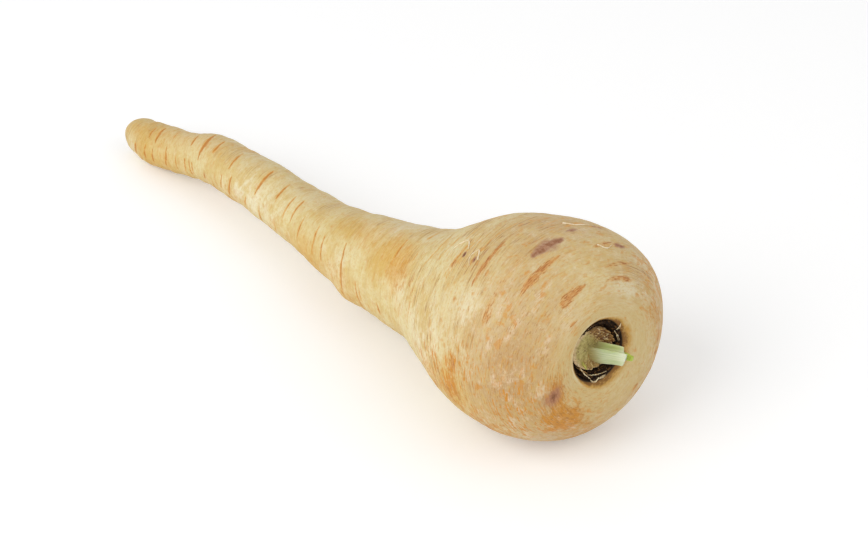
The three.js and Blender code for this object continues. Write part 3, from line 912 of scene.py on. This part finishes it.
soilBed = {
    "outline": [
        (9.2, -9), (9.25, -3.4), (9.2, -0.9), (8.7, -0.5), (7.9, -1.2), (7.0, -2.6), (6.2, -4), (6, -9),
    ],
    "outlineStep": 0.3,
    "steps": 150,
    "roughness": 0.5,
    "dip": 1.7,                      # how much lower it lies on its -x side
    "crumbs": 420,
    "crumbRing": (8.8, 6.4),         # from the wall inwards, and the heights at both
    "crumbHeight": (-0.8, -3.4),
    "crumbSize": (0.2, 0.75),
    "seed": 5,
}


def soilDip(place):
    return soilBed["dip"] * float(smoothStep(-place.x, 2, 8))


def makeSoil():
    bm = spinShape(smoothOutline(soilBed["outline"], soilBed["outlineStep"]), soilBed["steps"])
    for vert in bm.verts:
        lump = noise.fractal(vert.co * 1.3, 0.8, 2.1, 4)
        inward = Vector((-vert.co.x, -vert.co.y, 0)).normalized()
        share = float(smoothStep(vert.co.z, -6, -2)) * soilBed["roughness"]
        vert.co += (Vector((0, 0, 0.7)) + 0.6 * inward) * lump * share
        vert.co.z -= soilDip(vert.co) * float(smoothStep(vert.co.z, -7, -4))
        vert.co.xy *= float(mouthShape(-inward.x, -inward.y))
    dice = random.Random(soilBed["seed"])
    wall, inside = soilBed["crumbRing"]
    top, below = soilBed["crumbHeight"]
    for _ in range(soilBed["crumbs"]):
        turn, share = dice.uniform(0, 2 * math.pi), dice.random()
        radius = (wall + (inside - wall) * share) * float(mouthShape(math.cos(turn), math.sin(turn)))
        middle = polar(radius, turn, top + (below - top) * share**1.2)
        middle.z += dice.uniform(-0.4, 0.25) - soilDip(middle)
        size = dice.uniform(*soilBed["crumbSize"]) * dice.uniform(0.6, 1)
        shape = Vector((dice.uniform(0.7, 1.4), dice.uniform(0.7, 1.3), dice.uniform(0.6, 1)))
        for vert in bmesh.ops.create_icosphere(bm, subdivisions=1, radius=size)["verts"]:
            vert.co = vert.co * shape * (1 + 0.3 * noise.noise(vert.co * 9 + middle)) + middle
    return bm


def soilMaterial():
    material, tree = newMaterial("crumbled_soil")
    place = attributeOf(tree, "crown")
    grit = grain(tree, place, (1, 1, 1), 2.2, 4, 0.7)
    speck = grain(tree, place, (1, 1, 1), 0.9, 3, 0.6)
    colour = layCoats(
        tree, paint(16, 10, 6),
        (fade(tree, grit, 0.40, 0.64), paint(56, 34, 16)),
        (fade(tree, speck, 0.56, 0.66, 0, 0.8), paint(116, 80, 40)),
        (fade(tree, grit, 0.64, 0.70), paint(190, 164, 120)),
    )
    finishLook(tree, colour, 0.9, bump(tree, grit, 0.0002), 0.15)
    return material


# The dead leaf bases that line the pit, grown together into one cup with a torn papery rim.
sheathCup = {
    "outline": [
        (0, -9.4), (3.8, -9.4), (4.9, -7.4), (5.9, -4.6), (6.5, -2.6), (6.8, -1.2), (6.6, -1.0),
        (6.1, -1.6), (5.2, -2.3), (4.2, -2.8), (3, -3.2), (1.5, -3.5), (0, -3.6),
    ],
    "outlineStep": 0.22,
    "steps": 160,
    "middle": (-1.2, 0.45),
    "flare": 0.8,                    # how much wider the rim is at the top than at the side
    "tuck": 0.9,                     # how much narrower it is below
    "sunk": 1.3,                     # how much lower it is on the side at the wall
    "bulge": 0.6,                    # how much wider it is on that side
    "sides": (2.0708, -1.9208, 2.6),    # radians round the pit: its top, below and the side at the wall
    "tear": 0.6,
    "folds": 9,
}


def makeSheath():
    bm = spinShape(smoothOutline(sheathCup["outline"], sheathCup["outlineStep"]), sheathCup["steps"])
    for vert in bm.verts:
        turn = math.atan2(vert.co.y, vert.co.x)
        ring = polar(1, turn)
        rim = float(smoothStep(vert.co.z, -3.0, -1.2))
        inside = float(smoothStep(vert.co.to_2d().length, 0.5, 3))
        fold = noise.fractal(ring * 3.2 + Vector((0, 0, vert.co.z * 0.25)), 0.8, 2, 4)
        torn = noise.noise(ring * 7) + 0.6 * noise.noise(ring * 17)
        top, below, wallSide = (lobe(turn, side) for side in sheathCup["sides"])
        wider = sheathCup["flare"] * top - sheathCup["tuck"] * below + sheathCup["bulge"] * wallSide
        vert.co += ring * rim * (wider + 0.25 * fold)
        vert.co.z += rim * (sheathCup["tear"] * torn - 0.2 + 0.4 * top - sheathCup["sunk"] * wallSide)
        vert.co.z += 0.13 * math.sin(sheathCup["folds"] * turn + 2 * fold) * inside * (1 - rim)
    bmesh.ops.translate(bm, verts=bm.verts, vec=(*sheathCup["middle"], 0))
    return bm


def sheathMaterial():
    material, tree = newMaterial("leaf_bases")
    place = attributeOf(tree, "crown")
    across, upward = partsOf(tree, place)[:2]
    moved = vectorMath(tree, "SUBTRACT", place, (*sheathCup["middle"], 0))
    flat = vectorMath(tree, "MULTIPLY", moved, (1, 1, 0))
    reach = vectorMath(tree, "LENGTH", flat)
    # the pattern is fine round the cup and long outwards
    outwards = addNode(tree, "CombineXYZ", {2: calc(tree, "MULTIPLY", reach, 0.12)}).outputs[0]
    streaked = vectorMath(tree, "ADD", vectorMath(tree, "NORMALIZE", flat), outwards)
    fold = grain(tree, streaked, (1, 1, 1), 4, 4, 0.65)
    fine = grain(tree, streaked, (1, 1, 2), 7, 4, 0.7, 0.4)
    spots = grain(tree, place, (1, 1, 0.6), 1.3, 4, 0.7)

    def times(first, second):
        return calc(tree, "MULTIPLY", first, second)

    lowSide = fade(tree, upward, -1.6, -4.6)
    topSide = fade(tree, calc(tree, "MULTIPLY_ADD", across, 1.2, upward), 2.0, 6.0)
    # a pale papery rim round the cup, stronger towards -x, the side that faces the key light: partly its
    # own colour and partly painted highlight
    rim = times(fade(tree, reach, 4.8, 6.4), fade(tree, across, -1.0, -4.0, 0.4, 1))
    rust = fade(tree, calc(tree, "MULTIPLY_ADD", topSide, 0.14, spots), 0.57, 0.66)
    toStalk = vectorMath(tree, "DISTANCE", place, (-1.0, -2.0, -3.3))
    byStalk = fade(tree, calc(tree, "ADD", toStalk, times(spots, 2)), 2.3, 1.3)
    lively = calc(tree, "MAXIMUM", topSide, times(lowSide, 0.6))
    lively = calc(tree, "MULTIPLY_ADD", lively, 0.8, 0.2)
    colour = layCoats(
        tree, paint(206, 192, 124),
        (fade(tree, fold, 0.36, 0.64), paint(170, 152, 82)),
        (times(lowSide, 0.8), paint(160, 118, 50)),
        # the pale rim, partly painted highlight on the side facing the key light
        (rim, paint(222, 192, 144)),
        (times(topSide, 0.85), paint(178, 128, 58)),
        (rust, paint(112, 64, 24)),
        (times(byStalk, 0.8), paint(176, 112, 34)),
        (times(fade(tree, fine, 0.49, 0.38), lively), paint(94, 58, 24)),
        (times(fade(tree, fine, 0.53, 0.63), lively), paint(244, 222, 172)),
    )
    finishLook(tree, colour, 0.6, bump(tree, fine, 0.0004), soft=(0.1, (1.0, 0.8, 0.3), 0.001))
    return material


# The stub of the last leaf stalk: a ribbed flank, a groove along its upper side, and a slanted cut.
leafStalk = {
    "line": [(-0.2, -2.6, -6.2), (0.9, -2.25, -3), (2.2, -1.9, 0), (3.5, -1.5, 3.4), (4.75, -1.15, 7.5)],
    "turn": -78,                     # degrees, which way its flat flank faces
    "sizes": [1.3, 1.2, 1.05, 1.0, 0.96, 0.94, 0.92],
    "step": 0.34,
    "section": [
        (2.5, 1.2), (2.95, 0.1), (2.6, -1.0), (1.6, -1.45), (0, -1.6), (-1.6, -1.5), (-2.6, -1.35),
        (-2.95, -1.0), (-2.5, -0.5), (-1.9, 0.1), (-2.1, 0.8), (-2.75, 1.25), (-3.05, 1.6), (-2.6, 1.95),
        (-1.4, 1.95), (0.4, 1.85), (1.8, 1.6), (2.49, 1.22),
    ],
    "sectionStep": 0.12,
    "ribPitch": 0.68,
    "ribDepth": 0.085,
    "slant": (0.50, 0.92),           # how much shorter the cut leaves the lower edge and the far side
}


def makeStalk():
    bm = bmesh.new()
    outline = smoothOutline(leafStalk["section"], leafStalk["sectionStep"])[:-1]
    verts = []
    for x, y in outline:
        flank = float(smoothStep(-y, 0.7, 1.3))
        y += flank * leafStalk["ribDepth"] * math.cos(2 * math.pi * x / leafStalk["ribPitch"])
        verts.append(bm.verts.new((x, y, 0)))
    lowerEdge, farSide = leafStalk["slant"]

    def shortenBy(drawn):
        return lowerEdge * (drawn.x + 2.4) + farSide * (drawn.y + 1.5) + 0.18 * noise.noise(drawn * 1.7)

    stub = sweepFace(
        bm, bm.faces.new(verts), leafStalk["line"], leafStalk["sizes"], leafStalk["step"],
        math.radians(leafStalk["turn"]), shortenBy,
    )
    bmesh.ops.inset_region(bm, faces=[stub.face], thickness=0.16, depth=0.05)
    bmesh.ops.inset_region(bm, faces=[stub.face], thickness=0.22, depth=-0.14)
    bmesh.ops.poke(bm, faces=[stub.face])
    return bm


def stalkMaterial():
    # the pattern runs along the stub, so its places are turned back to lie along z
    material, tree = newMaterial("cut_leaf_stalk")
    foot, tip = Vector(leafStalk["line"][0]), Vector(leafStalk["line"][-1])
    turned = (tip - foot).rotation_difference(Vector((0, 0, 1))).to_matrix()
    back = Matrix.Rotation(-math.radians(leafStalk["turn"]), 3, "Z") @ turned
    moved = vectorMath(tree, "SUBTRACT", attributeOf(tree, "crown"), foot)
    local = addNode(tree, "Mapping", {"Vector": moved, "Rotation": back.to_euler()}).outputs[0]
    across, through, along = partsOf(tree, local)
    length = (tip - foot).length
    ribs = grain(tree, local, (1, 0.7, 0.01), 1.5, 3, 0.6)
    fine = grain(tree, local, (1, 0.7, 0.02), 4.5, 3, 0.6)

    def times(first, second):
        return calc(tree, "MULTIPLY", first, second)

    # the groove is painted a deeper green: partly the stalk's own colour and partly painted shade in the
    # channel
    groove = times(fade(tree, across, -1.3, -2.3), fade(tree, through, -1.1, -0.6))
    base = fade(tree, calc(tree, "ADD", along, times(ribs, 2)), 8.0, 3.6)
    cut = fade(tree, along, length - 5.0, length - 0.5)
    colour = layCoats(
        tree, paint(206, 212, 172),
        (fade(tree, ribs, 0.38, 0.62), paint(178, 192, 138)),
        (fade(tree, fine, 0.54, 0.70, 0, 0.6), paint(228, 230, 204)),
        # deeper green in the groove, partly painted shade
        (times(groove, 0.85), paint(176, 186, 106)),
        (times(fade(tree, through, 1.3, 1.7), groove), paint(196, 206, 140)),
        (base, paint(178, 164, 104)),
        (times(cut, 0.6), paint(228, 232, 206)),
    )
    relief = bump(tree, fine, 0.0001, bump(tree, ribs, 0.0003))
    rough = fade(tree, fine, 0.3, 0.7, 0.4, 0.6)
    finishLook(tree, colour, rough, relief, soft=(0.2, (0.8, 1.0, 0.4), 0.0012))
    return material


# Young growth beside the stalk: the tip of the next shoot, and a small bud by the rim.
youngGrowth = {
    "shoot": [(3.0, -2.0, -4.6), (4.3, -1.7, 0.5), (5.3, -1.5, 5), (5.7, -1.45, 7.0)],
    "shootSizes": [0.7, 0.8, 0.85, 0.9, 1.0, 1.12, 0.75],
    "bud": [(-4.7, -2.7, -3.4), (-4.6, -3.1, -2.1), (-4.5, -3.8, -1.4), (-4.4, -4.5, -1.1)],
    "budSizes": [0.35, 0.46, 0.42, 0.22],
    "step": 0.3,
}


def growTip(name, sides, flatten, step):
    bm = bmesh.new()
    face = roundFace(bm, sides, flatten)
    tip = sweepFace(bm, face, youngGrowth[name], youngGrowth[name + "Sizes"], step)
    bmesh.ops.poke(bm, faces=[tip.face])
    return bm, tip.end


def makeShoot():
    bm, end = growTip("shoot", 28, 1.0, youngGrowth["step"])
    for vert in bm.verts:
        knob = float(smoothStep(vert.co.z, 5.2, 6.6))
        ridge = noise.noise(vert.co * Vector((2.2, 2.2, 0.8)))
        vert.co += (vert.co - end).normalized() * (0.10 + 0.25 * knob) * ridge
    return bm


def makeBud():
    bm = growTip("bud", 20, 0.7, youngGrowth["step"] / 2)[0]
    for vert in bm.verts:
        vert.co += 0.12 * noise.noise_vector(vert.co * 1.8)
    return bm


def growthMaterial(name, young, old, tipHeight):
    material, tree = newMaterial(name)
    place = attributeOf(tree, "crown")
    outward = partsOf(tree, place)[2]
    veins = grain(tree, place, (1, 1, 0.3), 2.2, 3, 0.6)
    colour = layCoats(
        tree, old,
        (fade(tree, outward, tipHeight - 4, tipHeight - 1), young),
        (fade(tree, veins, 0.52, 0.7, 0, 0.6), paint(206, 212, 120)),
        (fade(tree, veins, 0.46, 0.32, 0, 0.6), paint(108, 122, 40)),
    )
    rough = fade(tree, veins, 0.3, 0.7, 0.4, 0.6)
    finishLook(tree, colour, rough, bump(tree, veins, 0.0002), soft=(0.2, (0.6, 1.0, 0.2), 0.001))
    return material


# Papery dead scales between the sheath and the soil: width, height, degrees round, height of the foot.
deadScales = {
    "scales": [
        (4.6, 3.0, 86, -3.0), (4.2, 3.1, 49, -2.9), (3.6, 2.9, 14, -3.2), (3.4, 2.4, -20, -3.2),
        (3.6, 2.4, -135, -3.0),
    ],
    "reach": 6.75,
    "thick": 0.10 * mm,
    "squares": 30,
    "crumple": 0.30,
    "curl": 0.9,
    "flare": 0.7,                    # how much wider they stand at the top
}


def makeScale(index, width, tall, degrees, foot):
    bm = bmesh.new()
    squares = deadScales["squares"]
    bmesh.ops.create_grid(bm, x_segments=squares, y_segments=squares, size=0.5)
    seed = Vector((0, 0, 5.3 * index))
    lean = deadScales["curl"] * noise.noise(seed * 1.7)
    for vert in bm.verts:
        x, up = vert.co.x, vert.co.y + 0.5
        tear = 0.45 * noise.noise(Vector((x * 5, 0, 0)) + seed)
        tear += 0.25 * noise.noise(Vector((x * 14, 1, 0)) + seed)
        narrow = 1 - 0.35 * up**2
        turn = math.radians(degrees) + x * width * narrow / deadScales["reach"]
        crease = noise.fractal(Vector((x * 4, up * 2.2, 0)) + seed, 0.7, 2.1, 4)
        reach = deadScales["reach"] + deadScales["crumple"] * crease + lean * up**2
        if degrees > 0:
            reach += deadScales["flare"] * lobe(turn, sheathCup["sides"][0])
        vert.co = polar(reach, turn, foot + tall * up * (1 + tear))
    bmesh.ops.translate(bm, verts=bm.verts, vec=(*sheathCup["middle"], 0))
    return bm


def scaleMaterial():
    material, tree = newMaterial("papery_scale")
    place = attributeOf(tree, "crown")
    outward = partsOf(tree, place)[2]
    fibre = grain(tree, place, (1, 1, 0.2), 3, 3, 0.65)
    patch = grain(tree, place, (1, 1, 1), 0.8, 3, 0.6)
    colour = layCoats(
        tree, paint(146, 100, 48),
        (fade(tree, patch, 0.38, 0.62), paint(184, 144, 84)),
        (fade(tree, outward, -1.6, -3.2, 0, 0.8), paint(92, 60, 30)),
        (fade(tree, fibre, 0.54, 0.68, 0, 0.8), paint(216, 192, 146)),
        (fade(tree, fibre, 0.44, 0.30, 0, 0.7), paint(84, 52, 26)),
    )
    finishLook(tree, colour, 0.7, bump(tree, fibre, 0.0002))
    return material


# Straw-coloured fibres and shreds over the pit's rim, each through its places.
crownFibres = {
    "lines": [
        [(-8.6, 0, 0.35), (-7.7, -2.0, 0.5), (-6.6, -4.0, 0.4), (-5.4, -5.7, 0.6), (-4.2, -7.2, 0.5)],
        [
            (-4.4, -7.3, 0.7), (-3.3, -8.1, 1.0), (-2.6, -8.2, 0.9),
            (-1.9, -7.6, 1.1), (-0.8, -7.9, 0.9), (0.9, -7.6, 1.0),
        ],
        [(-5.6, -5.2, 0.0), (-3.4, -6.2, 0.1), (-1, -6.9, 0.2), (1.8, -7.0, 0.5)],
        [(5, 5.2, 0.4), (5.9, 3.8, 0.3), (6.7, 2.4, 0.1), (7.2, 0.8, 0.0)],
        [(5.8, 5.2, 0.6), (6.6, 5.9, 0.8), (7.3, 6.9, 0.9)],
        [(-1, 8.3, 0.1), (-0.4, 7.9, 0.1), (0.2, 7.2, 0.0)],
    ],
    "strands": [2, 7, 2, 3, 2, 1],
    "size": 0.13,
    "step": 0.22,
    "sides": 7,
    "stray": 0.30,
    "seed": 8,
}


def makeFibre(index):
    dice = random.Random(crownFibres["seed"] + index)
    bm = bmesh.new()
    for strand in range(crownFibres["strands"][index]):
        away = crownFibres["stray"] * (strand > 0)
        line = [
            [value + away * share * dice.uniform(-1, 1) for value, share in zip(place, (1, 1, 0.7))]
            for place in crownFibres["lines"][index]
        ]
        if strand:
            first = dice.randrange(max(1, len(line) - 2))
            line = line[first:first + dice.randint(3, 4)]
        size = crownFibres["size"] * dice.uniform(0.7, 1.3) * (0.7 if strand else 1)
        sizes = [size * share for share in (0.5, 1, 1.1, 0.9, 0.35)]
        face = roundFace(bm, crownFibres["sides"], dice.uniform(0.5, 1))
        sweepFace(bm, face, line, sizes, crownFibres["step"], dice.uniform(0, 3))
    for vert in bm.verts:
        vert.co += 0.10 * noise.noise_vector(vert.co * 1.3)
    return bm


def fibreMaterial():
    material, tree = newMaterial("straw_fibre")
    patch = grain(tree, attributeOf(tree, "crown"), (1, 1, 1), 1.4, 3, 0.6)
    straw = (fade(tree, patch, 0.38, 0.6), paint(232, 216, 176))
    colour = layCoats(tree, paint(172, 138, 90), straw)
    finishLook(tree, colour, fade(tree, patch, 0.3, 0.7, 0.5, 0.75), bump(tree, patch, 0.0001))
    return material


addCrownPiece(makeSoil(), "crown_soil_bed", soilMaterial(), "soil", "crown_soil")
addCrownPiece(makeSheath(), "stalk_sheath_cup", sheathMaterial(), "sheath", "stalk_sheath")
addCrownPiece(makeStalk(), "leaf_stalk_stub", stalkMaterial(), "stalk", "leaf_stalk")
shootMaterial = growthMaterial("young_shoot", paint(178, 192, 66), paint(186, 196, 108), 7.0)
addCrownPiece(makeShoot(), "inner_shoot_tip", shootMaterial, "shoot", "inner_shoot")
budMaterial = growthMaterial("side_bud", paint(184, 180, 84), paint(136, 124, 50), -0.6)
addCrownPiece(makeBud(), "side_bud_tip", budMaterial, "bud", "side_bud")
paperyScale = scaleMaterial()
for index, scale in enumerate(deadScales["scales"], 1):
    made = makeScale(index, *scale)
    piece = addCrownPiece(made, f"papery_scale_{index}", paperyScale, "scale", f"dead_scale_{index}")
    wall = piece.modifiers.new("wall", "SOLIDIFY")
    wall.thickness = deadScales["thick"]
    wall.use_even_offset = False
strawFibre = fibreMaterial()
for index in range(len(crownFibres["lines"])):
    number = index + 1
    addCrownPiece(makeFibre(index), f"straw_fibre_{number}", strawFibre, "fibre", f"crown_fibre_{number}")
print("crown finished")


# Fine rootlets lying on the skin, each through places: distance along the root and degrees round.
rootlets = {
    "lines": [
        [(34, 60), (36.5, 66), (38, 61), (36, 56)],
        [(41, 66), (44, 72), (47, 70), (48.5, 63)],
        [(24, 103), (22, 107), (21, 113), (20.6, 118)],
        [(12, 104), (10.8, 109), (11.6, 114)],
        [(52, 152), (55, 160), (54, 170), (57, 178)],
        [(30, 205), (33, 213), (31.5, 222), (34, 230)],
    ],
    "size": 0.19,
    "step": 0.35,
    "sides": 8,
    "lift": 0.12,                    # how far the middle of the rootlet lies above the skin
}


def placeOnSkin(tree, along, degrees):
    centre, _, aside, up = (Vector(part[0]) for part in spineFrames(np.array([float(along)])))
    turn = math.radians(degrees)
    out = math.cos(turn) * aside + math.sin(turn) * up
    start = centre + Vector(skin.shift) + 60 * out
    hit, normal = tree.ray_cast(start * mm, -out)[:2]
    return hit / mm + rootlets["lift"] * normal


def makeRootlet(tree, line):
    bm = bmesh.new()
    smooth, reach = curveThrough(line, 12)
    places = pickAlong(smooth, reach, np.linspace(0, reach[-1], 9))
    stops = [placeOnSkin(tree, *place) for place in places]
    sizes = [rootlets["size"] * share for share in (1.2, 1, 0.9, 0.7, 0.3)]
    sweepFace(bm, roundFace(bm, rootlets["sides"]), stops, sizes, rootlets["step"])
    for vert in bm.verts:
        vert.co += 0.06 * noise.noise_vector(vert.co * 0.9)
    bmesh.ops.recalc_face_normals(bm, faces=bm.faces)
    bmesh.ops.scale(bm, verts=bm.verts, vec=(mm, mm, mm))
    return bm


def rootletMaterial():
    material, tree = newMaterial("dry_rootlet")
    patch = grain(tree, addNode(tree, "TexCoord", {}).outputs["Object"], (1, 1, 1), 700, 3, 0.6)
    colour = layCoats(tree, paint(224, 202, 156), (fade(tree, patch, 0.38, 0.62), paint(244, 232, 204)))
    finishLook(tree, colour, fade(tree, patch, 0.3, 0.7, 0.55, 0.75), bump(tree, patch, 0.0001))
    return material


skinTree = BVHTree.FromPolygons(
    [vert.co for vert in rootMesh.vertices], [face.vertices for face in rootMesh.polygons]
)
dryRootlet = rootletMaterial()
for index, line in enumerate(rootlets["lines"], 1):
    mesh = toMesh(makeRootlet(skinTree, line), f"dry_rootlet_{index}")
    addPiece(mesh, f"dry_rootlet_{index}", dryRootlet, "rootlet", f"rootlet_{index}")
print("rootlets finished")


studio = {
    "floorColour": (0.93, 0.93, 0.93, 1),
    "floorGlow": 0.17,               # seen by the camera only, so the paper is white and keeps its shadow
    "worldStrength": 0.62,
    # each lamp's place and size in m, and its power in W
    "lamps": {
        "key_light": ((-0.05, -1.1, 0.95), 1.1, 8.5),
        "fill_light": ((0.9, 0.2, 0.8), 1.0, 2.0),
        "low_light": ((0.1, -1.0, 0.1), 0.5, 0.9),
    },
}


def addLamp(name, place, size, power):
    lamp = bpy.data.objects.new(name, bpy.data.lights.new(name, "AREA"))
    lamp.data.shape = "DISK"
    lamp.data.size = size
    lamp.data.energy = power
    lamp.location = place
    lamp.rotation_euler = (-Vector(place)).to_track_quat("-Z", "Y").to_euler()
    bpy.context.scene.collection.objects.link(lamp)


def seenDirectly(tree):
    # 1 for the camera and for reflections, 0 for the light that falls on things
    path = addNode(tree, "LightPath", {}).outputs
    seen = calc(tree, "ADD", path["Is Camera Ray"], path["Is Glossy Ray"])
    return calc(tree, "ADD", seen, path["Is Transmission Ray"], clamp=True)


def makeWorld():
    world = bpy.data.worlds.new("studio")
    bpy.context.scene.world = world
    world.use_nodes = True
    tree = world.node_tree
    tree.nodes["Background"].inputs["Color"].default_value = (1, 1, 1, 1)
    strength = fade(tree, seenDirectly(tree), 0, 1, studio["worldStrength"], 1)
    feed(tree, tree.nodes["Background"].inputs["Strength"], strength)


def makeFloor():
    bm = bmesh.new()
    bmesh.ops.create_grid(bm, x_segments=1, y_segments=1, size=4)
    floor = bpy.data.objects.new("table", toMesh(bm, "table"))
    bpy.context.scene.collection.objects.link(floor)
    material, tree = newMaterial("table_paper")
    finishLook(tree, studio["floorColour"], 0.9)
    glow = calc(tree, "MULTIPLY", seenDirectly(tree), studio["floorGlow"])
    shader = tree.nodes["Principled BSDF"]
    shader.inputs["Emission Color"].default_value = (1, 1, 1, 1)
    feed(tree, shader.inputs["Emission Strength"], glow)
    floor.data.materials.append(material)


makeFloor()
for name, lamp in studio["lamps"].items():
    addLamp(name, *lamp)
makeWorld()
bpy.context.scene.view_settings.view_transform = "Standard"
print("studio ready")
